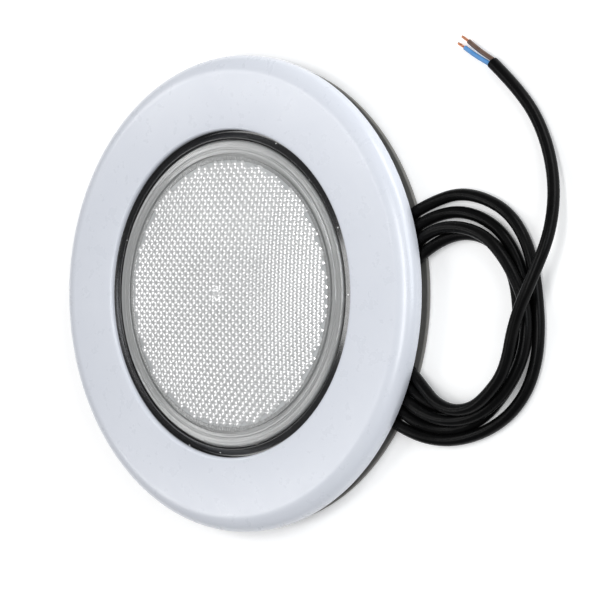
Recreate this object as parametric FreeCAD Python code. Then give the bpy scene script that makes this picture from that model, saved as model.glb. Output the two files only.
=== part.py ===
import FreeCAD, Part
import math
import os

# Flat underwater pool light, lying on its back with its lens up. Millimetres.
# The origin is the centre of the wall plate's back face and +Z is the lens's axis.

# Driving dimensions
FACE_R = 115.0            # face ring, outside
OPENING_R = 79.0          # face ring, opening
FACE_Z = 17.7             # front of the face ring
EDGE_Z = 8.9              # back edge of the face ring
SHOULDER_A = 9.5          # width of the rounded shoulder
SHOULDER_Z = 11.3         # where the shoulder meets the upright edge
SHELL_T = 2.3             # thickness of the face ring's wall
SHELL_SIDE_T = 2.2        # and of its upright edge
PLATE_R = 113.0           # wall plate
PLATE_T = 2.0
SCREW_PCD = 176.0         # wall screws
SCREW_HOLE_R = 2.75
CABLE_HOLE_R = 11.0       # hole in the wall plate for the cable
CABLE_HOLE_Y = -88.0
BODY_R = 86.0             # lamp body
BODY_Z = 10.2             # underside of the lamp body
CHAMBER_R = 58.0          # round chamber on the back of the lamp body
CHAMBER_Z = 2.3
LENS_R = 73.8             # visible rim of the lens
LENS_TOP = 21.1           # crown of the lens
DOME_R = 436.0            # radius of the lens's front
PATTERN_R = 65.0          # beaded part of the lens
LENS_T = 2.2              # thickness of the lens
CABLE_D = 5.5             # outside of the cable
CORE_D = 2.2              # outside of each of its two cores
LUGS = 4                  # bayonet lugs of the face ring
LUG_DEG = 16.0            # width of one lug
RING_TURN = 20.0          # turn that frees the face ring
HUB_LUGS = 3              # bayonet lugs of the wall plate's hub
HUB_LUG_DEG = 34.0
PLATE_TURN = 38.0         # turn that frees the lamp from the wall plate

UP = FreeCAD.Vector(0, 0, 1)
CABLE_R = CABLE_D / 2
CORE_R = CORE_D / 2

# Fits
JOIN = 0.3                          # how far pieces of one solid run into each other
CLEAR = 0.1                         # gap round a piece that is slipped in
PAST = 1.0                          # how far a cutting tool runs past its face

# Levels inside the lamp
FLOOR_T = 1.3                       # floor of the rear housing
LEDGE_Z = 12.0                      # ledge that the lens flange sits on
WALL_Z = 14.0                       # top of the rear housing's wall
FLANGE_T = 1.4                      # lens flange
FLANGE_R = 80.4
RIM_Z = 15.9                        # top of the lens rim
LENS_WALL_R = 70.8                  # inside of the lens's upright wall
SPREADER_Z = BODY_Z + FLOOR_T + 0.1
SPREADER_T = 0.7
BOARD_T = 1.0
BOARD_Z = SPREADER_Z + SPREADER_T
BOARD_TOP = BOARD_Z + BOARD_T
BOARD_R = 70.0
GASKET_Z = LEDGE_Z + FLANGE_T
CLAMP_T = 1.1
LED_RINGS = [(0.0, 1), (12.0, 6), (24.0, 12), (36.0, 18), (48.0, 24), (60.0, 30)]
LED_STAGGER = 7.0                   # degrees from each ring of LEDs to the next
LED_SIZE = (2.8, 3.5, 0.7)
LED_HOLE_R = 2.5
REFLECTOR_T = 0.4
RIM_BACK_Z = 9.4                    # back of the rear housing's rim
O_RING_R = 78.5
O_RING_CORD_R = 0.65
GROOVE_Z = 10.6                     # floor of the O-ring's groove
CLAMP_SCREWS = 8
CLAMP_SCREW_R = 83.4
CLAMP_SCREW_START = 22.5            # angle of the first clamp screw
CHAMBER_SCREWS = 6
CHAMBER_SCREW_R = 50.0
CHAMBER_SCREW_START = 30.0
WELL_R = 25.5                       # bayonet well in the back of the chamber
WELL_Z = 7.8
HUB_R = 20.0
CHAMBER_FLOOR_T = 1.5
CHAMBER_WALL = 2.2
FLOOR_IN_Z = CHAMBER_Z + CHAMBER_FLOOR_T
SEAL_T = 0.5
LED_WIRE_AT = (10.7, -45.0)         # the LED wires' way up from the chamber
LED_WIRE_HOLE_R = 2.5
DRIVER_Z = 5.0                      # driver board
DRIVER_TOP = 6.2
DRIVER_RADII = (29.0, 54.0)
DRIVER_MID_DEG = 107.5
DRIVER_SPAN_DEG = 255.0
COMPONENT_R = 39.0                  # circle that the driver's larger components sit on

# Terminal block
BLOCK_X = (4.5, 17.0)
BLOCK_Y = (-51.0, -40.5)
BLOCK_TOP = 9.4
TERMINAL_X = 13.0
TERMINAL_Y_BLUE = -48.2
TERMINAL_Y_BROWN = -43.3

# Bayonet of the face ring: lugs on its skirt pass under lugs on the lamp body
SKIRT_R = BODY_R + 3.0
SKIRT_Z = BODY_Z - 0.6
LUG_T = 1.6
LUG_GAP = 0.4                       # play of the lugs, in height and in radius
RING_LUG_Z = SKIRT_Z + LUG_T
BODY_LUG_Z = RING_LUG_Z + LUG_GAP
BODY_LUG_R = BODY_R + 2.4
STOP_DEG = 2.5
STOP_GAP_DEG = 0.3
RIBS = 12

# Bayonet of the wall plate: lugs on its hub pass over lugs in the chamber's well
HUB_TOP = 6.9
HUB_LUG_T = 2.0
WELL_LUG_T = 2.1
WELL_LID_T = 1.2
HUB_STOP_DEG = 5.0
HUB_STOP_GAP_DEG = 1.5

# Cable entry: the cable leaves the chamber along +X
ENTRY_Y = -46.0
ENTRY_Z = 6.1
SHEATH_X = 26.0
SLEEVE_X = 28.0
SLEEVE_NECK_X = 40.0
SLEEVE_TIP_X = 50.0
SLEEVE_NECK_R = 3.45
SLEEVE_HEAD_R = 3.75                # where the sleeve starts to taper
LEAD_SPREAD = 1.3                   # half the distance between the inner leads at the sheath

# The coil: four loose turns between the wall plate and the face ring, and beside them
COIL_CENTRE = (126.0, -11.5)
COIL_HALF = (53.0, 59.0)
COIL_HOLE_CENTRE = (129.5, -12.5)
COIL_HOLE_HALF = (29.0, 36.0)
COIL_GAP_Z = (2.35, 8.55)
COIL_TOP = 2 * CABLE_D
COIL_CLEAR_R = 117.0

# Routes of the cable where it isn't coiled
LEAD_ROUTE = [
    (SHEATH_X, ENTRY_Y, ENTRY_Z),
    (64.0, ENTRY_Y, 6.0),
    (99.0, -60.5, 5.45),
]
TAIL_ROUTE = [
    (148.5, -50.5, 9.1),
    (165.3, -33.7, 13.8),
    (171.3, -12.0, 15.8),
    (181.0, 6.0, 16.2),
    (188.5, 26.0, 12.6),
    (185.5, 48.0, 5.2),
    (178.0, 70.0, CABLE_R),
    (166.0, 88.0, CABLE_R),
    (150.0, 102.0, CABLE_R),
]
CORE_SPREAD = 1.2                   # half the distance between the cores at the sheath's end
CORE_LEAN = 0.03                    # how much each core leans outwards
CORE_DRIFT = 0.16                   # how much both cores lean to the coil's side
CORE_START = 0.3                    # gap between the sheath's end and the bare cores
CORE_DROP = 0.4                     # how far the cores lie below the cable's centre
CORE_LENGTH = 17.0
COPPER_R = 0.7
COPPER_LENGTH = 5.0


def vec(x, y, z=0.0):
    return FreeCAD.Vector(x, y, z)


def polar(r, deg, z=0.0):
    a = math.radians(deg)
    return vec(r * math.cos(a), r * math.sin(a), z)


def disc(r, z0, z1, at=(0.0, 0.0)):
    return Part.makeCylinder(r, z1 - z0, vec(at[0], at[1], z0))


def tube(r0, r1, z0, z1):
    return disc(r1, z0, z1).cut(disc(r0, z0 - PAST, z1 + PAST))


def box(x0, x1, y0, y1, z0, z1):
    return Part.makeBox(x1 - x0, y1 - y0, z1 - z0, vec(x0, y0, z0))


def union(shapes):
    first = shapes[0]
    rest = list(shapes[1:])
    return first.fuse(rest).removeSplitter() if rest else first


def revolve(edges):
    """A closed outline of edges in the XZ plane, turned about Z."""
    wire = Part.Wire(Part.__sortEdges__(edges))
    return Part.Face(wire).revolve(vec(0, 0, 0), UP, 360)


def lines(points):
    """Straight edges through (radius, height) points."""
    corners = [vec(r, 0, z) for r, z in points]
    return [Part.LineSegment(a, b).toShape() for a, b in zip(corners, corners[1:])]


def turned(points):
    return revolve(lines(points + points[:1]))


def sector(r0, r1, z0, z1, mid_deg, width_deg):
    """A block between two radii, as wide as an angle."""
    piece = Part.makeCylinder(r1, z1 - z0, vec(0, 0, z0), UP, width_deg)
    piece = piece.cut(disc(r0, z0 - PAST, z1 + PAST))
    piece.rotate(vec(0, 0, 0), UP, mid_deg - width_deg / 2)
    return piece


def around(count, radius, start=0.0):
    return [polar(radius, start + 360.0 * k / count) for k in range(count)]


def clamp_screw_places():
    return around(CLAMP_SCREWS, CLAMP_SCREW_R, CLAMP_SCREW_START)


def chamber_screw_places():
    return around(CHAMBER_SCREWS, CHAMBER_SCREW_R, CHAMBER_SCREW_START)


def screw(at, head_z, tip_z, head_r, shank_r, head_h, head_up):
    """A countersunk screw with a cross slot, its head's flat face at head_z."""
    way = 1 if head_up else -1
    cone = Part.makeCone(head_r, shank_r, head_h, vec(at.x, at.y, head_z), vec(0, 0, -way))
    shank = Part.makeCylinder(shank_r, abs(head_z - tip_z), vec(at.x, at.y, head_z), vec(0, 0, -way))
    body = cone.fuse(shank)
    slot_long, slot_wide, depth = head_r * 0.62, head_r * 0.12, head_h * 0.45
    skin = 0.001
    for w, d in ((slot_long, slot_wide), (slot_wide, slot_long)):
        z0 = head_z - depth if head_up else head_z
        body = body.cut(box(at.x - w, at.x + w, at.y - d, at.y + d, z0 - skin, z0 + depth + skin))
    return body


def countersink(at, face_z, head_r, hole_r, head_h, far_z, head_up):
    way = 1 if head_up else -1
    cone = Part.makeCone(head_r, hole_r, head_h, vec(at.x, at.y, face_z), vec(0, 0, -way))
    hole = Part.makeCylinder(hole_r, abs(face_z - far_z), vec(at.x, at.y, face_z), vec(0, 0, -way))
    return cone.fuse(hole)


def cable_tube(name, route, radius):
    """A round cable on straight runs joined by tangent arcs, each as large as its runs allow."""
    pts = [vec(*p) for p in route]
    share = 0.45                    # of the shorter run beside a corner, taken by its arc
    edges = []
    at = pts[0]
    length = 0.0
    smallest = None
    for before, corner, after in zip(pts, pts[1:], pts[2:]):
        to_prev = (before - corner).normalize()
        to_next = (after - corner).normalize()
        run = min((corner - before).Length, (after - corner).Length)
        turn = math.pi - to_prev.getAngle(to_next)
        back = share * run
        bend = back / math.tan(turn / 2)
        smallest = bend if smallest is None else min(smallest, bend)
        start = corner + to_prev * back
        end = corner + to_next * back
        inward = (to_prev + to_next).normalize()
        middle = corner + inward * (bend / math.cos(turn / 2) - bend)
        edges.append(Part.LineSegment(at, start).toShape())
        edges.append(Part.Arc(start, middle, end).toShape())
        length += (start - at).Length + bend * turn
        at = end
    edges.append(Part.LineSegment(at, pts[-1]).toShape())
    length += (pts[-1] - at).Length
    first = pts[1] - pts[0]
    profile = Part.Wire(Part.makeCircle(radius, pts[0], first))
    solid = Part.Wire(edges).makePipeShell([profile], True, True)
    ratio = solid.Volume / (math.pi * radius ** 2 * length)
    print(f"{name}: length {length:.1f} smallest bend {smallest:.1f} volume ratio {ratio:.4f}")
    return solid


# Face ring

def face_ring():
    fall = 0.1                      # from the opening to the shoulder
    crown = 0.2                     # bow of the face between them
    lip = 1.0                       # rounding of the opening's edge
    skirt_t = 2.0
    rib_half_t, rib_depth = 0.7, 2.6
    shoulder_r = FACE_R - SHOULDER_A
    top = FACE_Z - fall
    under = FACE_Z - SHELL_T
    inside_r = FACE_R - SHELL_SIDE_T
    outer = Part.Ellipse(vec(0, 0, 0), SHOULDER_A, top - SHOULDER_Z)
    inner = Part.Ellipse(vec(0, 0, 0), inside_r - shoulder_r, under - SHOULDER_Z)
    quarter = []
    for curve in (outer, inner):
        arc = Part.ArcOfEllipse(curve, 0, math.pi / 2).toShape()
        arc.rotate(vec(0, 0, 0), vec(1, 0, 0), 90)
        arc.translate(vec(shoulder_r, 0, SHOULDER_Z))
        quarter.append(arc)
    bow = lip * (1 - math.sqrt(0.5))
    lip_arc = Part.Arc(
        vec(OPENING_R, 0, FACE_Z - lip),
        vec(OPENING_R + bow, 0, FACE_Z - bow),
        vec(OPENING_R + lip, 0, FACE_Z),
    )
    face_arc = Part.Arc(
        vec(OPENING_R + lip, 0, FACE_Z),
        vec((OPENING_R + shoulder_r) / 2, 0, FACE_Z + crown),
        vec(shoulder_r, 0, top),
    )
    edges = lines([(OPENING_R, FACE_Z - lip), (OPENING_R, under), (shoulder_r, under)])
    edges += [quarter[1]]
    edges += lines([(inside_r, SHOULDER_Z), (inside_r, EDGE_Z), (FACE_R, EDGE_Z), (FACE_R, SHOULDER_Z)])
    edges += [quarter[0], face_arc.toShape(), lip_arc.toShape()]
    shell = revolve(edges)
    skirt = tube(SKIRT_R, SKIRT_R + skirt_t, SKIRT_Z, under + JOIN)
    pieces = [shell, skirt]
    lug_root = SKIRT_R + 0.5
    for k in range(LUGS):
        pieces.append(sector(BODY_R + LUG_GAP, lug_root, SKIRT_Z, RING_LUG_Z, lug_angle(k), LUG_DEG))
    rib_in, rib_out = SKIRT_R + 1.5, shoulder_r + 4.0
    for k in range(RIBS):
        rib = box(rib_in, rib_out, -rib_half_t, rib_half_t, under - rib_depth, under + JOIN)
        rib.rotate(vec(0, 0, 0), UP, (k + 0.5) * 360.0 / RIBS)
        pieces.append(rib)
    return union(pieces)


def lug_angle(k):
    return 45.0 + 360.0 * k / LUGS


# Lens, its seals and clamp

def lens():
    """The bowl's outline is turned first, then two spheres shape its front and its back."""
    back_r = PATTERN_R + 1.0
    back_dome = DOME_R - LENS_T
    front_edge = LENS_TOP - DOME_R + math.sqrt(DOME_R ** 2 - PATTERN_R ** 2)
    back_edge = LENS_TOP - DOME_R + math.sqrt(back_dome ** 2 - back_r ** 2)
    round_r = 1.0
    bow = round_r * (1 - math.sqrt(0.5))
    step_w, step_h = 0.6, 0.2       # the low step in the rim
    step_r = 69.4
    ditch = 0.3                     # drop from the beads to the rim
    flare = 0.5                     # slope from the back's edge to the wall
    above = LENS_TOP + PAST
    shoulder = Part.Arc(
        vec(LENS_R - round_r, 0, RIM_Z),
        vec(LENS_R - bow, 0, RIM_Z - bow),
        vec(LENS_R, 0, RIM_Z - round_r),
    )
    edges = lines([(0, back_edge), (0, above), (PATTERN_R, above), (PATTERN_R, front_edge - ditch),
                   (step_r, RIM_Z + step_h), (step_r + step_w, RIM_Z), (LENS_R - round_r, RIM_Z)])
    edges += [shoulder.toShape()]
    edges += lines([(LENS_R, RIM_Z - round_r), (LENS_R, GASKET_Z), (FLANGE_R, GASKET_Z), (FLANGE_R, LEDGE_Z),
                    (LENS_WALL_R, LEDGE_Z), (LENS_WALL_R, WALL_Z), (back_r + flare, back_edge),
                    (0, back_edge)])
    centre = vec(0, 0, LENS_TOP - DOME_R)
    hollow = Part.makeSphere(back_dome, centre).common(disc(back_r, 0, above))
    return revolve(edges).common(Part.makeSphere(DOME_R, centre)).cut(hollow)


def lens_gasket():
    inner, visible, outer = LENS_R + 0.15, 79.2, 80.6
    top = GASKET_Z + 1.5
    shelf = WALL_Z - 0.05           # just under the clamp ring
    bevel = 0.3
    return turned([(inner, GASKET_Z), (outer, GASKET_Z), (outer, shelf), (visible, shelf),
                   (visible, top - bevel), (visible - bevel, top), (inner + bevel, top),
                   (inner, top - bevel)])


def lens_o_ring():
    return Part.makeTorus(O_RING_R, O_RING_CORD_R, vec(0, 0, LEDGE_Z - 0.7))


def clamp_ring():
    inner, outer = 79.35, BODY_R - 0.2
    head_r, hole_r, head_h = 2.2, 1.2, 1.0
    ring = tube(inner, outer, WALL_Z, WALL_Z + CLAMP_T)
    cuts = [countersink(p, WALL_Z + CLAMP_T, head_r, hole_r, head_h, WALL_Z - PAST, True)
            for p in clamp_screw_places()]
    return ring.cut(cuts)


def clamp_screws():
    sunk = 0.05
    tip_z = 10.6
    head_r, shank_r, head_h = 2.1, 0.95, 0.95
    return Part.makeCompound([screw(p, WALL_Z + CLAMP_T - sunk, tip_z, head_r, shank_r, head_h, True)
                              for p in clamp_screw_places()])


# Lamp body

def rear_housing():
    top = BODY_Z + FLOOR_T
    pan_r = 72.5                    # inside of the pan that holds the LED board
    seat_r = 81.0                   # seat of the lens's flange and the gasket
    back_r = 75.0                   # flat back
    bevel = 0.8
    groove_in, groove_out = O_RING_R - 0.9, O_RING_R + 0.9
    shell = turned([
        (0, BODY_Z), (back_r, BODY_Z), (back_r + bevel, RIM_BACK_Z), (BODY_R, RIM_BACK_Z), (BODY_R, WALL_Z),
        (seat_r, WALL_Z), (seat_r, LEDGE_Z), (groove_out, LEDGE_Z), (groove_out, GROOVE_Z),
        (groove_in, GROOVE_Z), (groove_in, LEDGE_Z), (pan_r, LEDGE_Z), (pan_r, top), (0, top),
    ])
    lug_root = BODY_R - 0.5
    pieces = [shell]
    for k in range(LUGS):
        a = lug_angle(k)
        low = a - LUG_DEG / 2 - STOP_GAP_DEG - STOP_DEG / 2
        high = a + LUG_DEG / 2 + RING_TURN + STOP_GAP_DEG + STOP_DEG / 2
        pieces.append(sector(lug_root, BODY_LUG_R, BODY_LUG_Z, BODY_LUG_Z + LUG_T, a, LUG_DEG))
        pieces.append(sector(lug_root, BODY_LUG_R, SKIRT_Z, BODY_LUG_Z + LUG_T, low, STOP_DEG))
        pieces.append(sector(lug_root, BODY_LUG_R, SKIRT_Z, BODY_LUG_Z + LUG_T, high, STOP_DEG))
    boss_r, boss_top = 3.2, BODY_Z + 0.5
    for p in chamber_screw_places():
        pieces.append(disc(boss_r, FLOOR_IN_Z + CLEAR, boss_top, (p.x, p.y)))
    body = union(pieces)
    chamber_pilot_r, chamber_pilot_top = 1.25, 9.7
    clamp_pilot_r, clamp_pilot_z = 1.0, 10.4
    cuts = [disc(chamber_pilot_r, FLOOR_IN_Z - PAST, chamber_pilot_top, (p.x, p.y))
            for p in chamber_screw_places()]
    cuts += [disc(clamp_pilot_r, clamp_pilot_z, WALL_Z + PAST, (p.x, p.y)) for p in clamp_screw_places()]
    cuts.append(disc(LED_WIRE_HOLE_R, BODY_Z - PAST, top + PAST, LED_WIRE_AT))
    return body.cut(cuts)


def along_x(r, x0, x1, y, z):
    return Part.makeCylinder(r, x1 - x0, vec(x0, y, z), vec(1, 0, 0))


def rear_chamber():
    top = BODY_Z - SEAL_T
    well_wall = 2.0
    skin = 0.01
    lid_top = WELL_Z + WELL_LID_T
    cup = disc(CHAMBER_R, CHAMBER_Z, top).cut(disc(CHAMBER_R - CHAMBER_WALL, FLOOR_IN_Z, top + PAST))
    well = tube(WELL_R - skin, WELL_R + well_wall, CHAMBER_Z, lid_top)
    lid = disc(WELL_R + well_wall / 2, WELL_Z, lid_top)
    cup = cup.cut(disc(WELL_R, CHAMBER_Z - PAST, WELL_Z))
    pieces = [cup, well, lid]
    lug_in, stop_in, root = HUB_R + 0.8, HUB_R + 1.0, WELL_R + 0.5
    stop_top = WELL_Z + 0.1
    for k in range(HUB_LUGS):
        a = hub_angle(k)
        low = a - HUB_LUG_DEG / 2 - HUB_STOP_GAP_DEG - HUB_STOP_DEG / 2
        high = a + HUB_LUG_DEG / 2 + PLATE_TURN + HUB_STOP_GAP_DEG + HUB_STOP_DEG / 2
        pieces.append(sector(lug_in, root, CHAMBER_Z, CHAMBER_Z + WELL_LUG_T, a, HUB_LUG_DEG))
        pieces.append(sector(stop_in, root, CHAMBER_Z, stop_top, low, HUB_STOP_DEG))
        pieces.append(sector(stop_in, root, CHAMBER_Z, stop_top, high, HUB_STOP_DEG))
    body = union(pieces)
    head_r, hole_r, head_h = 3.1, 1.6, 1.4
    cuts = [countersink(p, CHAMBER_Z, head_r, hole_r, head_h, FLOOR_IN_Z + PAST, False)
            for p in chamber_screw_places()]
    outside_x = CHAMBER_R + 2.0
    slot_half = 2.6                 # the sleeve is laid in from above
    cuts.append(along_x(SLEEVE_NECK_R + CLEAR, SHEATH_X - PAST, outside_x, ENTRY_Y, ENTRY_Z))
    cuts.append(box(SLEEVE_X - PAST, outside_x, ENTRY_Y - slot_half, ENTRY_Y + slot_half,
                    ENTRY_Z, top + PAST))
    return body.cut(cuts)


def hub_angle(k):
    return 90.0 + 360.0 * k / HUB_LUGS


def chamber_seal():
    return tube(CHAMBER_R - CHAMBER_WALL + CLEAR, CHAMBER_R - CLEAR, BODY_Z - SEAL_T, BODY_Z)


def chamber_screws():
    sunk = 0.05
    tip_z = 9.4
    head_r, shank_r, head_h = 3.0, 1.2, 1.3
    return Part.makeCompound([screw(p, CHAMBER_Z + sunk, tip_z, head_r, shank_r, head_h, False)
                              for p in chamber_screw_places()])


# Light source and driver

def led_places():
    places = []
    for i, (radius, count) in enumerate(LED_RINGS):
        for k in range(count):
            places.append((radius, 360.0 * k / count + LED_STAGGER * i))
    return places


def heat_spreader():
    plate = disc(BOARD_R + 0.5, SPREADER_Z, SPREADER_Z + SPREADER_T)
    return plate.cut(disc(LED_WIRE_HOLE_R, SPREADER_Z - PAST, BOARD_Z + PAST, LED_WIRE_AT))


def led_board():
    return disc(BOARD_R, BOARD_Z, BOARD_TOP)


def leds():
    parts = []
    length, width, height = LED_SIZE
    for radius, deg in led_places():
        led = box(-length / 2, length / 2, -width / 2, width / 2, BOARD_TOP, BOARD_TOP + height)
        led.translate(vec(radius, 0, 0))
        led.rotate(vec(0, 0, 0), UP, deg)
        parts.append(led)
    return Part.makeCompound(parts)


def reflector_sheet():
    sheet = disc(BOARD_R + 0.4, BOARD_TOP, BOARD_TOP + REFLECTOR_T)
    holes = []
    for radius, deg in led_places():
        p = polar(radius, deg)
        holes.append(disc(LED_HOLE_R, BOARD_TOP - PAST, BOARD_TOP + PAST, (p.x, p.y)))
    return sheet.cut(holes)


def driver_board():
    boss_hole_r = 3.6
    board = sector(*DRIVER_RADII, DRIVER_Z, DRIVER_TOP, DRIVER_MID_DEG, DRIVER_SPAN_DEG)
    cuts = [disc(boss_hole_r, DRIVER_Z - PAST, DRIVER_TOP + PAST, (p.x, p.y))
            for p in chamber_screw_places()]
    return board.cut(cuts)


def on_board(size, radius, deg):
    """A block on the driver board, its length across the board's radius."""
    length, width, height = size
    part = box(-width / 2, width / 2, -length / 2, length / 2, DRIVER_TOP, DRIVER_TOP + height)
    part.translate(vec(radius, 0, 0))
    part.rotate(vec(0, 0, 0), UP, deg)
    return part


def driver_capacitors():
    size = (7.3, 4.3, 2.8)
    radius = COMPONENT_R - 1.0
    return Part.makeCompound([on_board(size, radius, a) for a in (10.0, 26.0, 42.0)])


def driver_inductors():
    radius, height, bevel = 4.6, 3.2, 0.4
    parts = []
    for a in (75.0, 105.0):
        p = polar(COMPONENT_R, a)
        drum = disc(radius, DRIVER_TOP, DRIVER_TOP + height, (p.x, p.y))
        rims = [e for e in drum.Edges if e.Curve.TypeId == "Part::GeomCircle"]
        parts.append(drum.makeChamfer(bevel, rims))
    return Part.makeCompound(parts)


def bridge_rectifier():
    size, angle = (8.2, 6.4, 2.5), 140.0
    return on_board(size, COMPONENT_R, angle)


def driver_chip():
    size, angle = (4.9, 3.9, 1.6), 172.0
    return on_board(size, COMPONENT_R, angle)


def terminal_block():
    wire_from = 9.0
    screw_hole_r = 1.3
    block = box(*BLOCK_X, *BLOCK_Y, FLOOR_IN_Z, BLOCK_TOP)
    cuts = []
    for y in (TERMINAL_Y_BLUE, TERMINAL_Y_BROWN):
        cuts.append(along_x(CORE_R + CLEAR, wire_from, BLOCK_X[1] + PAST, y, ENTRY_Z))
        cuts.append(disc(screw_hole_r, ENTRY_Z, BLOCK_TOP + PAST, (TERMINAL_X, y)))
    return block.cut(cuts)


def terminal_screws():
    radius, top = 1.2, 9.2
    tip = ENTRY_Z + CORE_R + 0.05
    slot_long, slot_half, slot_floor = 1.4, 0.2, 8.7
    screws = []
    for y in (TERMINAL_Y_BLUE, TERMINAL_Y_BROWN):
        body = disc(radius, tip, top, (TERMINAL_X, y))
        slot = box(TERMINAL_X - slot_long, TERMINAL_X + slot_long, y - slot_half, y + slot_half,
                   slot_floor, top + PAST)
        screws.append(body.cut(slot))
    return Part.makeCompound(screws)


def inner_lead(y_block, y_sheath):
    """From inside the terminal block to its mouth, then slanting to the cable's sheath."""
    inside = vec(10.0, y_block, ENTRY_Z)
    mouth = vec(BLOCK_X[1] + 1.0, y_block, ENTRY_Z)
    sheath = vec(SHEATH_X - 0.4, y_sheath, ENTRY_Z)
    first = Part.makeCylinder(CORE_R, (mouth - inside).Length, inside, mouth - inside)
    second = Part.makeCylinder(CORE_R, (sheath - mouth).Length, mouth, sheath - mouth)
    return first.fuse([second, Part.makeSphere(CORE_R, mouth)])


def led_wires():
    x, y = LED_WIRE_AT
    radius, half_pitch = 0.6, 1.1
    return Part.makeCompound([disc(radius, BLOCK_TOP, BOARD_Z, (x + dx, y))
                              for dx in (-half_pitch, half_pitch)])


# Cable entry

def strain_relief():
    bore = CABLE_R + 0.05
    overlap = 0.5
    neck = along_x(SLEEVE_NECK_R, SLEEVE_X, SLEEVE_NECK_X + overlap, ENTRY_Y, ENTRY_Z)
    taper = Part.makeCone(SLEEVE_HEAD_R, SLEEVE_NECK_R, SLEEVE_TIP_X - SLEEVE_NECK_X,
                          vec(SLEEVE_NECK_X, ENTRY_Y, ENTRY_Z), vec(1, 0, 0))
    sleeve = neck.fuse(taper)
    return sleeve.cut(along_x(bore, SLEEVE_X - PAST, SLEEVE_TIP_X + PAST, ENTRY_Y, ENTRY_Z))


# Wall plate with its bayonet hub

def wall_plate():
    edge = 0.4                      # bevel
    hub_wall = 4.5
    plate = turned([(0, 0), (PLATE_R - edge, 0), (PLATE_R, edge), (PLATE_R, PLATE_T - edge),
                    (PLATE_R - edge, PLATE_T), (0, PLATE_T)])
    hub = tube(HUB_R - hub_wall, HUB_R, PLATE_T - 0.2, HUB_TOP)
    pieces = [plate, hub]
    lug_root, lug_tip = HUB_R - 0.5, WELL_R - 0.9
    for k in range(HUB_LUGS):
        pieces.append(sector(lug_root, lug_tip, HUB_TOP - HUB_LUG_T, HUB_TOP, hub_angle(k), HUB_LUG_DEG))
    body = union(pieces)
    screws, first_screw = 4, 45.0
    head_r, head_h = 5.0, 1.2
    cuts = [countersink(p, PLATE_T, head_r, SCREW_HOLE_R, head_h, -PAST, True)
            for p in around(screws, SCREW_PCD / 2, first_screw)]
    cuts.append(disc(CABLE_HOLE_R, -PAST, PLATE_T + PAST, (0, CABLE_HOLE_Y)))
    return body.cut(cuts)


# Cable

def oval_prism(centre, half, z0, z1):
    """An upright prism on an ellipse whose axes lie along X and Y."""
    long_y = half[1] > half[0]
    major, minor = (half[1], half[0]) if long_y else half
    ellipse = Part.Ellipse(vec(0, 0, 0), major, minor).toShape()
    if long_y:
        ellipse.rotate(vec(0, 0, 0), UP, 90)
    ellipse.translate(vec(centre[0], centre[1], z0))
    return Part.Face(Part.Wire(ellipse)).extrude(vec(0, 0, z1 - z0))


def coil_band(z0, z1):
    outside = oval_prism(COIL_CENTRE, COIL_HALF, z0, z1)
    return outside.cut(oval_prism(COIL_HOLE_CENTRE, COIL_HOLE_HALF, z0 - PAST, z1 + PAST))


def cable_coil():
    in_gap = coil_band(*COIL_GAP_Z)
    outside = coil_band(0.0, COIL_TOP).cut(disc(COIL_CLEAR_R, -PAST, COIL_TOP + PAST))
    return in_gap.fuse(outside).removeSplitter()


def tail_end():
    end = vec(*TAIL_ROUTE[-1])
    way = (end - vec(*TAIL_ROUTE[-2])).normalize()
    side = UP.cross(way)
    return end, way, side


def core(sign):
    end, way, side = tail_end()
    start = end + way * CORE_START + side * (sign * CORE_SPREAD) - UP * CORE_DROP
    lean = (way + side * (CORE_DRIFT + sign * CORE_LEAN)).normalize()
    return start, lean


def core_solid(sign):
    start, lean = core(sign)
    return Part.makeCylinder(CORE_R, CORE_LENGTH, start, lean)


def copper_solid(sign):
    start, lean = core(sign)
    return Part.makeCylinder(COPPER_R, COPPER_LENGTH, start + lean * CORE_LENGTH, lean)


PARTS = {
    "face_ring": face_ring,
    "lens": lens,
    "lens_gasket": lens_gasket,
    "lens_o_ring": lens_o_ring,
    "clamp_ring": clamp_ring,
    "clamp_screws": clamp_screws,
    "rear_housing": rear_housing,
    "rear_chamber": rear_chamber,
    "chamber_seal": chamber_seal,
    "chamber_screws": chamber_screws,
    "heat_spreader": heat_spreader,
    "led_board": led_board,
    "leds": leds,
    "reflector_sheet": reflector_sheet,
    "driver_board": driver_board,
    "driver_capacitors": driver_capacitors,
    "driver_inductors": driver_inductors,
    "bridge_rectifier": bridge_rectifier,
    "driver_chip": driver_chip,
    "terminal_block": terminal_block,
    "terminal_screws": terminal_screws,
    "inner_lead_blue": lambda: inner_lead(TERMINAL_Y_BLUE, ENTRY_Y - LEAD_SPREAD),
    "inner_lead_brown": lambda: inner_lead(TERMINAL_Y_BROWN, ENTRY_Y + LEAD_SPREAD),
    "led_wires": led_wires,
    "strain_relief": strain_relief,
    "wall_plate": wall_plate,
    "cable_lead": lambda: cable_tube("cable_lead", LEAD_ROUTE, CABLE_R),
    "cable_coil": cable_coil,
    "cable_tail": lambda: cable_tube("cable_tail", TAIL_ROUTE, CABLE_R),
    "core_blue": lambda: core_solid(1),
    "core_brown": lambda: core_solid(-1),
    "copper_end_blue": lambda: copper_solid(1),
    "copper_end_brown": lambda: copper_solid(-1),
}


def main():
    os.makedirs("parts", exist_ok=True)
    for name, make in PARTS.items():
        shape = make()
        if not shape.isValid():
            print(f"{name}: not a valid shape")
        shape.exportStep(f"parts/{name}.step")
        size = shape.BoundBox
        print(f"{name}: solids {len(shape.Solids)} z {size.ZMin:.2f}..{size.ZMax:.2f}")


main()
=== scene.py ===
import math

import bmesh
import bpy
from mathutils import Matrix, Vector, noise


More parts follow.
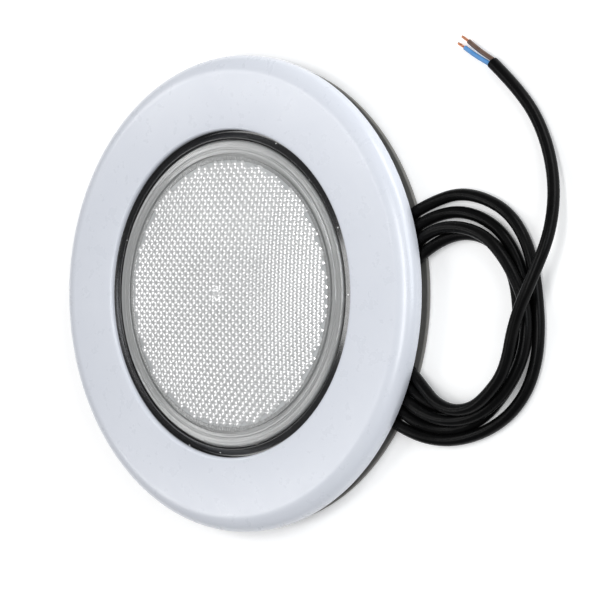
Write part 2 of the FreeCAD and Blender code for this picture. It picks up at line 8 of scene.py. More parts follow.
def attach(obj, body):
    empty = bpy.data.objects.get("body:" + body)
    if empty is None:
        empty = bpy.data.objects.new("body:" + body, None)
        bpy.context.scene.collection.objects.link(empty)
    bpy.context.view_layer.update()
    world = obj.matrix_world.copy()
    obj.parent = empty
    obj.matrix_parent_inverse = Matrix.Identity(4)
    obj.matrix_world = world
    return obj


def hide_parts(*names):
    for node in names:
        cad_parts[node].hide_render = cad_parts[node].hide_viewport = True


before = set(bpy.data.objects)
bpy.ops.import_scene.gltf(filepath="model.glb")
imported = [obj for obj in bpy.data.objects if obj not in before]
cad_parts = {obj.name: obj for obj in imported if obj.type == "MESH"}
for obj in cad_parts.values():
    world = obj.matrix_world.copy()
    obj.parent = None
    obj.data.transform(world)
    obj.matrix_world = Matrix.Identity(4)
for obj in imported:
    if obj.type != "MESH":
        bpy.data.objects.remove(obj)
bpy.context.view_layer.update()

MM = 0.001

# Dimensions of the light, mm
FACE_R, OPENING_R = 115.0, 79.0        # face ring: outside and opening
FACE_Z, EDGE_Z = 17.7, 8.9             # its front and its back edge
SHOULDER_A, SHOULDER_Z = 9.5, 11.3     # rounded shoulder: width and foot
SHELL_T, SHELL_SIDE_T = 2.3, 2.2       # thickness of its wall and of its upright edge
LIP = 1.5                              # rounding of the opening's edge
FALL = 0.1                             # from the opening to the shoulder
SKIRT_IN, SKIRT_OUT = 89.0, 91.0       # upright skirt behind its face
SKIRT_Z = 9.6                          # back edge of the skirt and of its lugs
LUGS, LUG_AT, LUG_DEG = 4, 45.0, 16.0  # bayonet lugs on the skirt: count, first place and width
LUG_T, LUG_GAP = 1.6, 0.4              # their thickness and their distance from the lamp's body
RIBS, RIB_DEG = 12, 0.8                # ribs behind its face: count and width
BODY_R = 86.0                          # outside of the lamp's body
LENS_R, LENS_TOP = 73.8, 21.1          # visible rim and crown of the lens
DOME_R, BACK_DOME_R = 436.0, 433.8     # radii of its front and its back
LEDGE_Z, GASKET_Z = 12.0, 13.4         # back and front of the lens's flange
PATTERN_R = 65.0                       # beaded part of the lens
CELL, BEAD_H = 3.16, 0.6               # spacing and height of the beads
PATTERN_LEAN = -1.4                    # degrees that the bead lattice is turned
GATE_X, GATE_R = -2.0, 2.3             # rough gate mark near the middle
CABLE_D, CORE_D = 5.5, 2.2


# ---------------------------------------------------------------- materials

def material(name):
    made = bpy.data.materials.new(name)
    made.use_nodes = True
    tree = made.node_tree
    return made, tree, tree.nodes["Principled BSDF"]


def noise_node(tree, scale, detail=4.0, stretch=(1, 1, 1), rough=0.5):
    coords = tree.nodes.new("ShaderNodeTexCoord")
    place = tree.nodes.new("ShaderNodeMapping")
    place.inputs["Scale"].default_value = stretch
    field = tree.nodes.new("ShaderNodeTexNoise")
    field.inputs["Scale"].default_value = scale
    field.inputs["Detail"].default_value = detail
    field.inputs["Roughness"].default_value = rough
    tree.links.new(coords.outputs["Object"], place.inputs["Vector"])
    tree.links.new(place.outputs["Vector"], field.inputs["Vector"])
    return field


def ramp(tree, source, stops):
    """A colour ramp over a field. stops are (position, colour)."""
    node = tree.nodes.new("ShaderNodeValToRGB")
    first, last = node.color_ramp.elements
    first.position, first.color = stops[0][0], (*stops[0][1], 1)
    last.position, last.color = stops[-1][0], (*stops[-1][1], 1)
    for position, colour in stops[1:-1]:
        node.color_ramp.elements.new(position).color = (*colour, 1)
    tree.links.new(source, node.inputs["Fac"])
    return node


def spread(tree, source, low, high, start=0.3, end=0.7):
    node = tree.nodes.new("ShaderNodeMapRange")
    for name, value in (("From Min", start), ("From Max", end), ("To Min", low), ("To Max", high)):
        node.inputs[name].default_value = value
    tree.links.new(source, node.inputs["Value"])
    return node.outputs["Result"]


def over(tree, below, mask, colour):
    """colour laid over another colour where mask is 1."""
    mix = tree.nodes.new("ShaderNodeMix")
    mix.data_type = "RGBA"
    tree.links.new(mask, mix.inputs["Factor"])
    tree.links.new(below, mix.inputs[6])
    mix.inputs[7].default_value = (*colour, 1)
    return mix.outputs[2]


def finish_of(name, dark, light, rough, tone=60.0, grain=1500.0, bump=0.05, stretch=(1, 1, 1),
              **sockets):
    """A moulded, painted or rolled surface: its tone drifts between two colours, and its roughness
    and its grain vary. rough is (low, high), tone and grain are in cycles per metre, and sockets
    are set as they are."""
    made, tree, shader = material(name)
    drift = noise_node(tree, tone, 5.0, stretch)
    colour = ramp(tree, drift.outputs["Fac"], [(0.3, dark), (0.7, light)])
    tree.links.new(colour.outputs["Color"], shader.inputs["Base Color"])
    wear = noise_node(tree, tone * 4.3, 6.0, stretch, 0.65)
    tree.links.new(spread(tree, wear.outputs["Fac"], *rough), shader.inputs["Roughness"])
    fine = noise_node(tree, grain, 2.0, stretch)
    relief = tree.nodes.new("ShaderNodeBump")
    relief.inputs["Strength"].default_value = bump
    relief.inputs["Distance"].default_value = 0.0003
    tree.links.new(fine.outputs["Fac"], relief.inputs["Height"])
    tree.links.new(relief.outputs["Normal"], shader.inputs["Normal"])
    for socket, value in sockets.items():
        shader.inputs[socket.replace("_", " ")].default_value = value
    return made, tree, shader, colour.outputs["Color"]


def specks(tree, scale, radius, share):
    """1 inside small round specks, one in some of the cells of a Voronoi field, else 0."""
    coords = tree.nodes.new("ShaderNodeTexCoord")
    cells = tree.nodes.new("ShaderNodeTexVoronoi")
    cells.inputs["Scale"].default_value = scale
    tree.links.new(coords.outputs["Object"], cells.inputs["Vector"])
    near = tree.nodes.new("ShaderNodeMath")
    near.operation = "LESS_THAN"
    near.inputs[1].default_value = radius
    tree.links.new(cells.outputs["Distance"], near.inputs[0])
    parts = tree.nodes.new("ShaderNodeSeparateColor")
    tree.links.new(cells.outputs["Color"], parts.inputs["Color"])
    chosen = tree.nodes.new("ShaderNodeMath")
    chosen.operation = "LESS_THAN"
    chosen.inputs[1].default_value = share
    tree.links.new(parts.outputs["Red"], chosen.inputs[0])
    both = tree.nodes.new("ShaderNodeMath")
    both.operation = "MULTIPLY"
    tree.links.new(near.outputs[0], both.inputs[0])
    tree.links.new(chosen.outputs[0], both.inputs[1])
    return both.outputs[0]


def white_plastic():
    made, tree, shader, colour = finish_of(
        "white_plastic", (0.628, 0.652, 0.712), (0.652, 0.675, 0.732), (0.24, 0.36),
        tone=28.0, grain=900.0, bump=0.035, Coat_Weight=0.36, Coat_Roughness=0.22)
    scuffs = noise_node(tree, 34.0, 8.0, (1.0, 2.6, 1.0), 0.72)
    mask = spread(tree, scuffs.outputs["Fac"], 0.0, 0.03, 0.64, 0.78)
    scuffed = over(tree, colour, mask, (0.55, 0.55, 0.56))
    speckled = over(tree, scuffed, specks(tree, 95.0, 0.03, 0.12), (0.5, 0.49, 0.47))
    tree.links.new(speckled, shader.inputs["Base Color"])
    return made


def black_rubber():
    made, tree, shader, colour = finish_of(
        "black_rubber", (0.006, 0.006, 0.0065), (0.013, 0.013, 0.014), (0.16, 0.3),
        tone=150.0, grain=2600.0, bump=0.12, Coat_Weight=0.6, Coat_Roughness=0.14)
    dusty = over(tree, colour, specks(tree, 330.0, 0.13, 0.12), (0.8, 0.81, 0.81))
    tree.links.new(dusty, shader.inputs["Base Color"])
    return made


def grey_plastic():
    made, tree, shader, colour = finish_of(
        "grey_plastic", (0.25, 0.243, 0.222), (0.31, 0.30, 0.275), (0.45, 0.62),
        tone=70.0, grain=2200.0, bump=0.12)
    speckled = over(tree, colour, specks(tree, 210.0, 0.07, 0.2), (0.42, 0.41, 0.39))
    tree.links.new(speckled, shader.inputs["Base Color"])
    return made


def board_white():
    made, tree, shader, colour = finish_of(
        "board_white", (0.74, 0.74, 0.72), (0.82, 0.82, 0.80), (0.3, 0.42),
        tone=120.0, grain=2400.0, bump=0.04)
    padded = over(tree, colour, specks(tree, 160.0, 0.12, 0.4), (0.55, 0.42, 0.2))
    tree.links.new(padded, shader.inputs["Base Color"])
    return made


def led_package():
    return finish_of(
        "led_package", (0.80, 0.60, 0.16), (0.86, 0.70, 0.26), (0.35, 0.5),
        tone=600.0, grain=5200.0, bump=0.1)[0]


MATERIALS = {
    "white_plastic": white_plastic(),
    "black_rubber": black_rubber(),
    "grey_plastic": grey_plastic(),
    "board_white": board_white(),
    "led_package": led_package(),
}
EVEN = (1, 1, 1)
METAL = {"Metallic": 1.0}
PLAIN = {
    # slot: darker colour, lighter colour,
    #     roughness, tone, grain, bump, stretch, sockets
    "seal_rubber": ((0.03, 0.03, 0.031), (0.055, 0.055, 0.056),
        (0.5, 0.65), 200, 2600, 0.15, EVEN, {}),
    "stainless": ((0.50, 0.50, 0.51), (0.66, 0.66, 0.67),
        (0.2, 0.36), 260, 900, 0.12, (1, 1, 9), METAL),
    "screw_steel": ((0.46, 0.46, 0.48), (0.62, 0.62, 0.64),
        (0.22, 0.4), 900, 4200, 0.12, EVEN, METAL),
    "aluminium": ((0.62, 0.63, 0.65), (0.76, 0.77, 0.79),
        (0.3, 0.45), 140, 1700, 0.1, (1, 12, 1), METAL),
    "reflector_white": ((0.80, 0.80, 0.80), (0.88, 0.88, 0.88),
        (0.16, 0.28), 90, 1800, 0.03, EVEN, {}),
    "board_green": ((0.015, 0.09, 0.035), (0.03, 0.14, 0.06),
        (0.28, 0.42), 420, 3200, 0.08, EVEN, {}),
    "capacitor_tan": ((0.42, 0.27, 0.09), (0.55, 0.38, 0.15),
        (0.4, 0.55), 500, 3600, 0.1, EVEN, {}),
    "ferrite": ((0.02, 0.02, 0.022), (0.05, 0.05, 0.055),
        (0.5, 0.7), 700, 4800, 0.3, EVEN, {}),
    "chip_black": ((0.012, 0.012, 0.013), (0.03, 0.03, 0.032),
        (0.45, 0.6), 800, 5200, 0.15, EVEN, {}),
    "terminal_plastic": ((0.05, 0.16, 0.09), (0.07, 0.22, 0.12),
        (0.35, 0.5), 300, 2600, 0.08, EVEN, {}),
    "brass": ((0.62, 0.42, 0.16), (0.78, 0.57, 0.26),
        (0.22, 0.4), 800, 4200, 0.1, EVEN, METAL),
    "wire_red": ((0.34, 0.02, 0.015), (0.46, 0.035, 0.03),
        (0.35, 0.5), 600, 3600, 0.06, EVEN, {}),
    "core_blue": ((0.070, 0.235, 0.53), (0.115, 0.31, 0.62),
        (0.3, 0.44), 260, 3000, 0.08, EVEN, {}),
    "core_brown": ((0.085, 0.048, 0.034), (0.135, 0.085, 0.064),
        (0.32, 0.46), 260, 3000, 0.08, EVEN, {}),
    "copper": ((0.70, 0.31, 0.17), (0.86, 0.45, 0.28),
        (0.2, 0.38), 900, 4200, 0.1, EVEN, METAL),
    "cable_rubber": ((0.0016, 0.0017, 0.0019), (0.0032, 0.0031, 0.0031),
        (0.24, 0.36), 130, 2400, 0.05, EVEN, {"Specular IOR Level": 0.085}),
    # painted shade: the wall plate's grey is grey_plastic darkened to about half, standing in for the shade
    # along its edge behind the face ring
    "plate_grey_painted_shade": ((0.145, 0.14, 0.13), (0.18, 0.174, 0.161),
        (0.45, 0.62), 70, 2200, 0.12, EVEN, {}),
}
for name, (dark, light, rough, tone, grain, bump, stretch, sockets) in PLAIN.items():
    MATERIALS[name] = finish_of(name, dark, light, rough, tone, grain, bump, stretch, **sockets)[0]


def clear_rim():
    """Clear moulded plastic, with turning marks from the mould."""
    made, tree, shader = material("clear_rim")
    shader.inputs["Base Color"].default_value = (0.57, 0.575, 0.57, 1)
    shader.inputs["Transmission Weight"].default_value = 0.5
    shader.inputs["IOR"].default_value = 1.49
    haze = noise_node(tree, 90.0, 5.0)
    tree.links.new(spread(tree, haze.outputs["Fac"], 0.05, 0.16), shader.inputs["Roughness"])
    shader.inputs["Coat Weight"].default_value = 0.6
    shader.inputs["Coat Roughness"].default_value = 0.08
    shader.inputs["Coat IOR"].default_value = 1.8
    coords = tree.nodes.new("ShaderNodeTexCoord")
    rings = tree.nodes.new("ShaderNodeTexWave")
    rings.wave_type = "RINGS"
    rings.rings_direction = "Z"
    rings.inputs["Scale"].default_value = 260.0
    rings.inputs["Distortion"].default_value = 1.2
    rings.inputs["Detail Scale"].default_value = 0.6
    tree.links.new(coords.outputs["Object"], rings.inputs["Vector"])
    relief = tree.nodes.new("ShaderNodeBump")
    relief.inputs["Strength"].default_value = 0.16
    relief.inputs["Distance"].default_value = 0.0004
    tree.links.new(rings.outputs["Fac"], relief.inputs["Height"])
    tree.links.new(relief.outputs["Normal"], shader.inputs["Normal"])
    return made


def clear_beads():
    """The same plastic where its beads scatter the light."""
    return finish_of(
        "clear_beads", (0.64, 0.642, 0.642), (0.70, 0.702, 0.702), (0.05, 0.1),
        tone=45.0, grain=1300.0, bump=0.03,
        Coat_Weight=1.0, Coat_Roughness=0.04, Coat_IOR=2.0, Transmission_Weight=0.15, IOR=2.0)[0]


def clear_ground():
    """The hazy ground between the beads."""
    return finish_of(
        "clear_ground", (0.36, 0.37, 0.375), (0.44, 0.45, 0.455), (0.3, 0.45),
        tone=45.0, grain=1300.0)[0]


MATERIALS["clear_rim"] = clear_rim()
MATERIALS["clear_ground"] = clear_ground()
MATERIALS["clear_beads"] = clear_beads()

SLOTS = {
    "lens_o_ring": "seal_rubber", "chamber_seal": "seal_rubber", "clamp_ring": "stainless",
    "clamp_screws": "screw_steel", "chamber_screws": "screw_steel", "rear_housing": "grey_plastic",
    "rear_chamber": "grey_plastic", "wall_plate": "plate_grey_painted_shade", "heat_spreader": "aluminium",
    "led_board": "board_white", "leds": "led_package", "reflector_sheet": "reflector_white",
    "driver_board": "board_green", "driver_capacitors": "capacitor_tan", "driver_inductors": "ferrite",
    "bridge_rectifier": "chip_black", "driver_chip": "chip_black", "terminal_block": "terminal_plastic",
    "terminal_screws": "brass", "inner_lead_blue": "core_blue", "inner_lead_brown": "core_brown",
    "led_wires": "wire_red", "strain_relief": "black_rubber",
}
for node, slot in SLOTS.items():
    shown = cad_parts[node]
    shown.data.materials.clear()
    shown.data.materials.append(MATERIALS[slot])


# ---------------------------------------------------------------- mesh helpers

def mesh_object(name, bm, materials, sharp=35.0):
    bmesh.ops.remove_doubles(bm, verts=bm.verts, dist=1e-7)
    bmesh.ops.recalc_face_normals(bm, faces=bm.faces)
    mesh = bpy.data.meshes.new(name)
    bm.to_mesh(mesh)
    bm.free()
    for m in materials:
        mesh.materials.append(MATERIALS[m])
    mesh.shade_smooth()
    mesh.set_sharp_from_angle(angle=math.radians(sharp))
    made = bpy.data.objects.new(name, mesh)
    bpy.context.collection.objects.link(made)
    return made


def turn(bm, outline, segments=288, start=0.0, sweep=360.0):
    """A closed (radius, height) outline in mm, turned about Z whole or as a sector."""
    whole = sweep == 360.0
    rings = []
    for i in range(segments if whole else segments + 1):
        a = math.radians(start + sweep * i / segments)
        c, s = math.cos(a), math.sin(a)
        rings.append([bm.verts.new((r * MM * c, r * MM * s, z * MM)) for r, z in outline])
    for i in range(segments):
        here, there = rings[i], rings[(i + 1) % len(rings)]
        for j in range(len(outline)):
            k = (j + 1) % len(outline)
            if outline[j][0] == 0 and outline[k][0] == 0:
                continue
            bm.faces.new((here[j], there[j], there[k], here[k]))
    if not whole:
        bm.faces.new(rings[0])
        bm.faces.new(list(reversed(rings[-1])))


def arc(cr, cz, a, b, start, end, steps):
    """Points on an ellipse in the (radius, height) plane."""
    out = []
    for i in range(steps + 1):
        t = math.radians(start + (end - start) * i / steps)
        out.append((cr + a * math.cos(t), cz + b * math.sin(t)))
    return out


# ---------------------------------------------------------------- face ring

def face_ring():
    """The ring's shell, and behind it the skirt with the bayonet lugs, and the ribs."""
    crown = 0.6                        # bow of the flat face between its edges
    flat_steps = 12
    edge_round = 0.35
    join = 0.2                         # how far the pieces behind run into the shell
    shoulder_r = FACE_R - SHOULDER_A
    flat_start = OPENING_R + LIP
    flat_run = shoulder_r - flat_start
    top = FACE_Z - FALL
    under = FACE_Z - SHELL_T
    inner_r = FACE_R - SHELL_SIDE_T
    bm = bmesh.new()
    outline = arc(flat_start, FACE_Z - LIP, LIP, LIP, 180, 90, 8)
    for i in range(1, flat_steps):
        t = i / flat_steps
        outline.append((flat_start + t * flat_run, FACE_Z - FALL * t + crown * t * (1 - t)))
    outline += arc(shoulder_r, SHOULDER_Z, SHOULDER_A, top - SHOULDER_Z, 90, 0, 28)
    outline += [(FACE_R, EDGE_Z + edge_round), (FACE_R - 0.1, EDGE_Z + 0.1), (FACE_R - edge_round, EDGE_Z)]
    outline += [(inner_r, EDGE_Z)]
    outline += arc(shoulder_r, SHOULDER_Z, inner_r - shoulder_r, under - SHOULDER_Z, 0, 90, 14)
    outline += [(OPENING_R, under)]
    turn(bm, outline, 384)
    skirt = [(SKIRT_IN, SKIRT_Z), (SKIRT_OUT, SKIRT_Z), (SKIRT_OUT, under + join), (SKIRT_IN, under + join)]
    turn(bm, skirt, 192)
    bevel = 0.2
    tip, root = BODY_R + LUG_GAP, SKIRT_IN + 0.5
    lug_top = SKIRT_Z + LUG_T
    lug = [(tip, SKIRT_Z + bevel), (tip + bevel, SKIRT_Z), (root, SKIRT_Z)]
    lug += [(root, lug_top), (tip + bevel, lug_top), (tip, lug_top - bevel)]
    for k in range(LUGS):
        turn(bm, lug, 10, LUG_AT + 360.0 / LUGS * k - LUG_DEG / 2, LUG_DEG)
    rib_z, rib_in, rib_out = 12.8, 90.5, 109.5
    rib = [(rib_in, rib_z), (rib_out, rib_z), (rib_out, under + join), (rib_in, under + join)]
    for k in range(RIBS):
        turn(bm, rib, 1, 360.0 / RIBS * (k + 0.5) - RIB_DEG / 2, RIB_DEG)
    made = mesh_object("face_ring_shell", bm, ["white_plastic"], 40.0)
    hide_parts("face_ring")
    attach(made, "face")


face_ring()


# ---------------------------------------------------------------- lens

def dome(r, radius=DOME_R):
    return LENS_TOP - DOME_R + math.sqrt(radius ** 2 - r ** 2)


def lens_bowl():
    """The clear bowl: dome, stepped rim with a groove, upright wall and flange."""
    under_beads = BEAD_H + 0.02
    front = [(r, dome(r) - under_beads) for r in [0.0, 12.0, 24.0, 36.0, 46.0, 54.0, 60.0, 64.4]]
    rim = [
        (64.7, 15.98), (64.95, 16.08), (66.1, 16.06), (66.2, 15.9), (66.3, 14.75),
        (67.4, 14.75), (67.5, 15.9), (67.65, 16.06), (67.9, 16.08), (68.05, 15.96),
        (69.4, 16.02), (69.6, 15.72), (70.3, 15.70), (70.45, 15.86), (71.6, 15.88),
        (71.75, 15.76), (72.3, 15.78), (72.5, 15.88), (72.8, 15.88),
    ]
    round_r, round_z = 1.0, 14.88      # rounding from the rim's top to its upright side
    flange_r, bevel = 80.4, 0.2
    wall_in, wall_top = 70.8, 14.0     # inside of the upright wall
    edge = arc(LENS_R - round_r, round_z, round_r, round_r, 86, 0, 8)
    flange = [
        (LENS_R, GASKET_Z + 0.05), (flange_r - bevel, GASKET_Z), (flange_r, GASKET_Z - bevel),
        (flange_r, LEDGE_Z + bevel), (flange_r - bevel, LEDGE_Z), (wall_in, LEDGE_Z), (wall_in, wall_top),
    ]
    back = [(r, dome(r, BACK_DOME_R)) for r in [66.0, 60.0, 50.0, 38.0, 24.0, 12.0, 0.0]]
    ground_r = 64.3                    # the hazy ground between the beads ends here
    bm = bmesh.new()
    turn(bm, front + rim + edge + flange + back, 288)
    made = mesh_object("lens_bowl", bm, ["clear_rim", "clear_ground"], 50.0)
    for face in made.data.polygons:
        centre = face.center
        if math.hypot(centre.x, centre.y) < ground_r * MM:
            face.material_index = 1
    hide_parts("lens")
    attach(made, "lamp_body")


def lens_beads():
    """About 1300 pillow-shaped beads on a diamond lattice, fading into a rough gate mark at the middle."""
    steps = 8                          # faces along one side of a bead
    margin = 1.2                       # between the outermost beads' centres and the pattern's edge
    gate_fade = 1.5                    # width over which the beads grow round the gate mark
    blot_h, blot_scale = 0.3, 1.2      # the mark's own uneven surface
    half = int(PATTERN_R / CELL) + 1
    lean = math.radians(45.0 + PATTERN_LEAN)
    c, s = math.cos(lean), math.sin(lean)
    bm = bmesh.new()
    grid = {}

    def corner(i, j):
        if (i, j) not in grid:
            a, b = (i / steps - 0.5) * CELL, (j / steps - 0.5) * CELL
            x, y = a * c - b * s, a * s + b * c
            u, v = (i % steps) / steps * 2 - 1, (j % steps) / steps * 2 - 1
            r = math.hypot(x, y)
            bead = BEAD_H * (1 - (u * u + v * v) / 2)
            gate = min(max((math.hypot(x - GATE_X, y) - GATE_R) / gate_fade, 0.0), 1.0)
            blot = blot_h + blot_h * noise.noise(Vector((x * blot_scale, y * blot_scale, 3.0)))
            height = bead * gate + blot * (1 - gate)
            grid[(i, j)] = bm.verts.new((x * MM, y * MM, (dome(r) - BEAD_H + height) * MM))
        return grid[(i, j)]

    for ci in range(-half, half + 1):
        for cj in range(-half, half + 1):
            x, y = (ci * c - cj * s) * CELL, (ci * s + cj * c) * CELL
            if math.hypot(x, y) > PATTERN_R - margin:
                continue
            for i in range(ci * steps, (ci + 1) * steps):
                for j in range(cj * steps, (cj + 1) * steps):
                    bm.faces.new((corner(i, j), corner(i + 1, j), corner(i + 1, j + 1), corner(i, j + 1)))
    made = mesh_object("lens_beads", bm, ["clear_beads"], 25.0)
    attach(made, "lamp_body")


def gasket():
    """Black lip seal round the lens: a ridge beside the lens, sloping down to the ring."""
    bm = bmesh.new()
    foot_in, foot_out, foot_z = 73.98, 80.55, 13.42
    ridge_r, ridge_z, ridge_round = 75.15, 14.95, 0.4
    outline = [(foot_in, foot_z), (foot_out, foot_z), (foot_out, 13.93)]
    outline += [(78.0, 13.95), (77.6, 14.05), (76.6, 14.6), (75.6, 15.15)]
    outline += arc(ridge_r, ridge_z, ridge_round, ridge_round, 62, 180, 6)
    outline += [(74.6, 14.5), (74.3, 14.3), (74.0, 14.25)]
    turn(bm, outline, 288)
    made = mesh_object("lens_gasket_lip", bm, ["black_rubber"], 50.0)
    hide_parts("lens_gasket")
    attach(made, "lamp_body")


def rim_ribs():
    """Fine radial ribs on the step just outside the beads."""
    count = 240
    inner, outer, low, high, half_width = 64.75, 66.25, 15.9, 16.32, 0.2
    bm = bmesh.new()
    for n in range(count):
        t = math.tau * n / count
        c, s = math.cos(t), math.sin(t)
        rows = []
        for r in (inner, outer):
            foot = [(r * c - w * s, r * s + w * c, low) for w in (half_width, -half_width)]
            foot.append((r * c, r * s, high))
            rows.append([bm.verts.new([v * MM for v in p]) for p in foot])
        a, b = rows
        bm.faces.new(a)
        bm.faces.new(b[::-1])
        for k in range(3):
            bm.faces.new((a[k], b[k], b[(k + 1) % 3], a[(k + 1) % 3]))
    bmesh.ops.recalc_face_normals(bm, faces=bm.faces)
    made = mesh_object("lens_rim_ribs", bm, ["clear_rim"], 20.0)
    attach(made, "lamp_body")


lens_bowl()
lens_beads()
rim_ribs()
gasket()


# ---------------------------------------------------------------- cable

COIL_X, COIL_Y = 126.0, -12.0          # the coil's centre
LAID = CABLE_D / 2                     # height of the cable's middle where it lies on the floor
TUCKED = 5.45                          # and where it runs between the face ring and the wall plate
# The places that each loose turn passes: (angle, radius, height), in degrees and mm
TURNS = [
    [
        (-120, 54.7, TUCKED), (-105, 55.2, 4.4), (-92, 54.2, 3.0), (-70, 53.0, LAID), (-45, 53.0, LAID),
        (-20, 50.6, LAID), (5, 48.6, LAID), (20, 50.0, LAID), (34, 53.2, LAID), (55, 57.3, LAID),
        (80, 57.2, LAID), (97, 53.9, 3.6), (113, 51.5, 5.5), (145, 49.7, TUCKED), (180, 48.9, TUCKED),
        (215, 49.0, TUCKED),
    ],
    [
        (-120, 48.9, TUCKED), (-105, 50.0, 4.1), (-92, 49.4, LAID), (-70, 47.6, LAID), (-45, 43.9, LAID),
        (-20, 43.2, LAID), (5, 43.3, LAID), (20, 44.6, LAID), (34, 45.9, LAID), (55, 48.4, LAID),
        (80, 48.9, LAID), (97, 47.4, 3.6), (113, 45.3, 5.5), (145, 43.4, TUCKED), (180, 42.6, TUCKED),
        (215, 43.0, TUCKED),
    ],
    [
        (-120, 42.9, TUCKED), (-115, 43.1, 5.9), (-105, 43.8, 7.0), (-95, 44.4, 7.5), (-82, 45.3, 7.7),
        (-70, 46.1, 7.9), (-45, 46.2, 8.0), (-20, 46.4, 7.8), (5, 45.9, 8.0), (20, 44.6, 8.2),
        (34, 43.4, 8.0), (55, 44.0, 8.2), (80, 42.0, 7.8), (97, 40.9, 6.4), (113, 38.8, 5.5),
        (145, 36.9, TUCKED), (180, 36.3, TUCKED), (215, 36.9, TUCKED),
    ],
    [
        (-120, 37.0, TUCKED), (-105, 39.2, 4.2), (-92, 40.9, 2.95), (-76, 41.4, LAID), (-60, 40.4, LAID),
        (-45, 38.8, LAID), (-20, 38.0, LAID), (5, 38.1, LAID), (20, 39.4, LAID), (34, 40.7, LAID),
        (50, 42.0, LAID), (66, 41.0, LAID), (80, 39.0, 2.85), (97, 35.6, 3.8), (113, 32.6, 5.5),
        (145, 30.5, TUCKED), (180, 30.0, TUCKED), (215, 30.9, TUCKED),
    ],
    [
        (-120, 31.2, 5.5), (-110, 32.9, 6.8), (-98, 36.2, 8.6), (-85, 39.6, 9.8), (-70, 42.4, 10.4),
        (-57, 43.0, 12.0), (-50, 43.2, 12.8),
    ],
]
LEAD = [(26.0, -46.0, 6.1), (64.0, -46.0, 6.0), (89.0, -56.0, 5.5)]
TAIL = [
    (165.3, -33.7, 13.8),
    (171.3, -12.0, 15.8),
    (181.0, 6.0, 16.2),
    (188.5, 26.0, 12.6),
    (185.5, 48.0, 5.2),
    (178.0, 70.0, LAID),
    (166.0, 88.0, LAID),
    (150.0, 102.0, LAID),
]
COIL_START, COIL_STEP = 10.0, 15.0     # the route's points round the coil, degrees


def between(rows, angle):
    """Radius and height at an angle, smooth and without overshoot between the rows."""
    i = 0
    while i < len(rows) - 2 and rows[i + 1][0] < angle:
        i += 1
    p1, p2 = rows[i], rows[i + 1]
    p0 = rows[i - 1] if i > 0 else None
    p3 = rows[i + 2] if i + 2 < len(rows) else None
    h = p2[0] - p1[0]
    t = (angle - p1[0]) / h
    out = []
    for k in (1, 2):
        slope = (p2[k] - p1[k]) / h
        before = (p1[k] - p0[k]) / (p1[0] - p0[0]) if p0 else slope
        after = (p3[k] - p2[k]) / (p3[0] - p2[0]) if p3 else slope
        m1 = 2 * before * slope / (before + slope) if before * slope > 0 else 0.0
        m2 = 2 * after * slope / (after + slope) if after * slope > 0 else 0.0
        out.append((2 * t ** 3 - 3 * t * t + 1) * p1[k] + (t ** 3 - 2 * t * t + t) * h * m1
                   + (3 * t * t - 2 * t ** 3) * p2[k] + (t ** 3 - t * t) * h * m2)
    return out


def cable_route():
    rows = [(a + 360.0 * n, r, z) for n, turn_rows in enumerate(TURNS) for a, r, z in turn_rows]
    swell = 1 / math.cos(math.radians(COIL_STEP / 2))
    route = list(LEAD)
    angle = rows[0][0] + COIL_START
    while angle <= rows[-1][0]:
        r, z = between(rows, angle)
        t = math.radians(angle)
        route.append((COIL_X + r * swell * math.cos(t), COIL_Y + r * swell * math.sin(t), z))
        angle += COIL_STEP
    return route + TAIL


def nurbs(name, points, radius, slot, resolution=6, round_steps=6):
    """A round bar along a smooth line whose control points are in mm."""
    data = bpy.data.curves.new(name, "CURVE")
    data.dimensions = "3D"
    data.resolution_u = resolution
    data.bevel_depth = radius * MM
    data.bevel_resolution = round_steps
    data.use_fill_caps = True
    spline = data.splines.new("NURBS")
    spline.points.add(len(points) - 1)
    for point, place in zip(spline.points, points):
        point.co = (*(Vector(place) * MM), 1.0)
    spline.order_u = 3
    spline.use_endpoint_u = True
    data.materials.append(MATERIALS[slot])
    made = bpy.data.objects.new(name, data)
    bpy.context.collection.objects.link(made)
    return made


CORE_SPREAD, CORE_DROP = 1.2, 0.4      # the cores' places at the sheath's end
CORE_DRIFT, CORE_LEAN = 0.16, 0.03     # how both lean to the coil's side, and apart
CORE_LENGTH = 17.2
STRAND_D = 0.42
STRANDS = 7


def core_line(sign):
    """Where a core starts, which way it leans, and the direction across it."""
    end, before = Vector(TAIL[-1]), Vector(TAIL[-2])
    way = (end - before).normalized()
    side = Vector((0, 0, 1)).cross(way)
    start = end + side * (CORE_SPREAD * sign) - Vector((0, 0, CORE_DROP))
    lean = (way + side * (CORE_DRIFT + CORE_LEAN * sign)).normalized()
    return start, way, lean, side


def core(colour, sign):
    """The core's own sheath, from inside the cable's to its bared end."""
    start, way, lean, side = core_line(sign)
    bow = side * 0.35
    inside = 4.0
    line = [start - way * inside, start, start + lean * 6.0 + bow, start + lean * 12.0 + bow]
    line.append(start + lean * CORE_LENGTH)
    made = nurbs(f"core_{colour}_sheath", line, CORE_D / 2, f"core_{colour}", 8)
    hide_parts(f"core_{colour}")
    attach(made, "lamp_body")
    return made


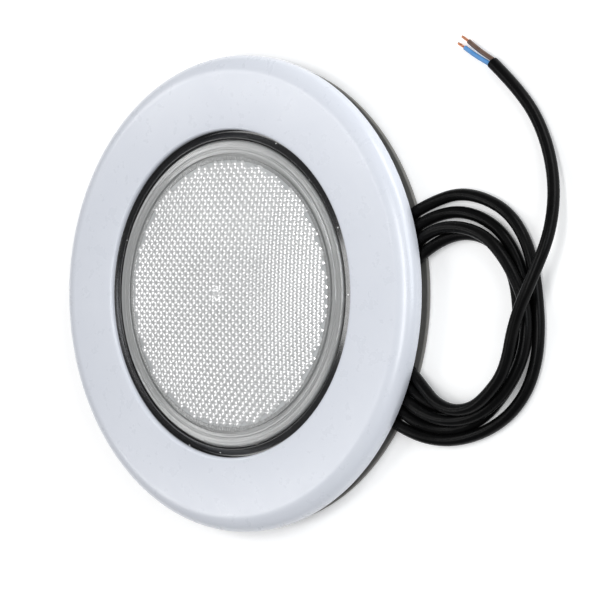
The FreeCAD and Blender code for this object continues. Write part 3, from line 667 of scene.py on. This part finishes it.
def copper(colour, sign):
    """Six bare strands twisted round a seventh, out of the core's end."""
    start, _, lean, side = core_line(sign)
    inside = 0.4
    tip = start + lean * (CORE_LENGTH - inside)
    up = lean.cross(side).normalized()
    across = up.cross(lean)
    twist_deg, pitch, lay_r = 28, 1.2, 0.45
    data = bpy.data.curves.new(f"strands_{colour}", "CURVE")
    data.dimensions = "3D"
    data.resolution_u = 6
    data.bevel_depth = STRAND_D / 2 * MM
    data.bevel_resolution = 3
    data.use_fill_caps = True
    for k in range(STRANDS):
        spread_r = 0.0 if k == STRANDS - 1 else lay_r
        spline = data.splines.new("NURBS")
        spline.points.add(4)
        for n, point in enumerate(spline.points):
            a = math.radians(60 * k + twist_deg * n)
            place = tip + lean * (pitch * n) + (across * math.cos(a) + up * math.sin(a)) * spread_r
            point.co = (*(place * MM), 1.0)
        spline.order_u = 3
        spline.use_endpoint_u = True
    data.materials.append(MATERIALS["copper"])
    strands = bpy.data.objects.new(f"strands_{colour}", data)
    bpy.context.collection.objects.link(strands)
    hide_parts(f"copper_end_{colour}")
    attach(strands, "lamp_body")
    return strands


def cable():
    made = nurbs("cable", cable_route(), CABLE_D / 2, "cable_rubber", 6, 8)
    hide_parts("cable_lead", "cable_coil", "cable_tail")
    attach(made, "lamp_body")
    ends = [core("blue", 1), copper("blue", 1), core("brown", -1), copper("brown", -1)]


cable()


# ---------------------------------------------------------------- stage, lights and camera

def floor():
    half_size, drop = 3.0, 0.0002      # metres; just under what lies on it
    bm = bmesh.new()
    bmesh.ops.create_grid(bm, x_segments=8, y_segments=8, size=half_size)
    made, _, shader, _ = finish_of(
        "floor_paper", (0.93, 0.93, 0.93), (0.96, 0.96, 0.96), (0.8, 0.9),
        tone=6.0, grain=700.0, bump=0.02)
    shader.inputs["Emission Color"].default_value = (1, 1, 1, 1)
    shader.inputs["Emission Strength"].default_value = 0.2
    MATERIALS["floor_paper"] = made
    mesh = bpy.data.meshes.new("floor")
    bm.to_mesh(mesh)
    bm.free()
    mesh.materials.append(made)
    plane = bpy.data.objects.new("floor", mesh)
    bpy.context.collection.objects.link(plane)
    plane.location = (0, 0, -drop)


AIM = (0, 0, 0.01)                     # every softbox faces this point


def softbox(name, place, size, power, colour=(1, 1, 1)):
    data = bpy.data.lights.new(name, "AREA")
    data.shape = "RECTANGLE"
    data.size, data.size_y = size
    data.energy = power
    data.color = colour
    lamp = bpy.data.objects.new(name, data)
    bpy.context.collection.objects.link(lamp)
    lamp.location = place
    lamp.rotation_mode = "QUATERNION"
    lamp.rotation_quaternion = (Vector(place) - Vector(AIM)).to_track_quat("Z", "Y")


floor()
softbox("softbox_left_a", (-0.96, 0.37, 1.09), (0.32, 0.95), 3.9)
softbox("softbox_left_b", (-0.96, -0.37, 1.09), (0.32, 0.95), 3.9)
softbox("softbox_overhead", (0.42, 0.02, 1.44), (1.0, 0.36), 8.6)
softbox("softbox_key", (1.3, 0.3, 0.72), (0.9, 0.6), 7.6, (0.92, 0.965, 1.0))
softbox("softbox_back", (1.0, 1.05, 0.34), (0.9, 0.5), 8.0)


def studio():
    """Even pale light from all round."""
    world = bpy.data.worlds.new("studio")
    bpy.context.scene.world = world
    world.use_nodes = True
    background = world.node_tree.nodes["Background"]
    background.inputs["Color"].default_value = (0.97, 0.985, 1.0, 1)
    background.inputs["Strength"].default_value = 0.235
    bpy.context.scene.view_settings.view_transform = "Standard"


def camera():
    """Looks down at the face, leaning to the side where the cable lies."""
    tilt = math.radians(41.816)
    data = bpy.data.cameras.new("camera")
    data.lens = 135.9
    data.sensor_width = 36.0
    data.clip_end = 20.0
    made = bpy.data.objects.new("camera", data)
    bpy.context.collection.objects.link(made)
    made.location = (0.75468, -0.00306, 0.80646)
    made.rotation_euler = (0.0, tilt, 0.0)
    bpy.context.scene.camera = made


studio()
camera()

bpy.context.view_layer.update()
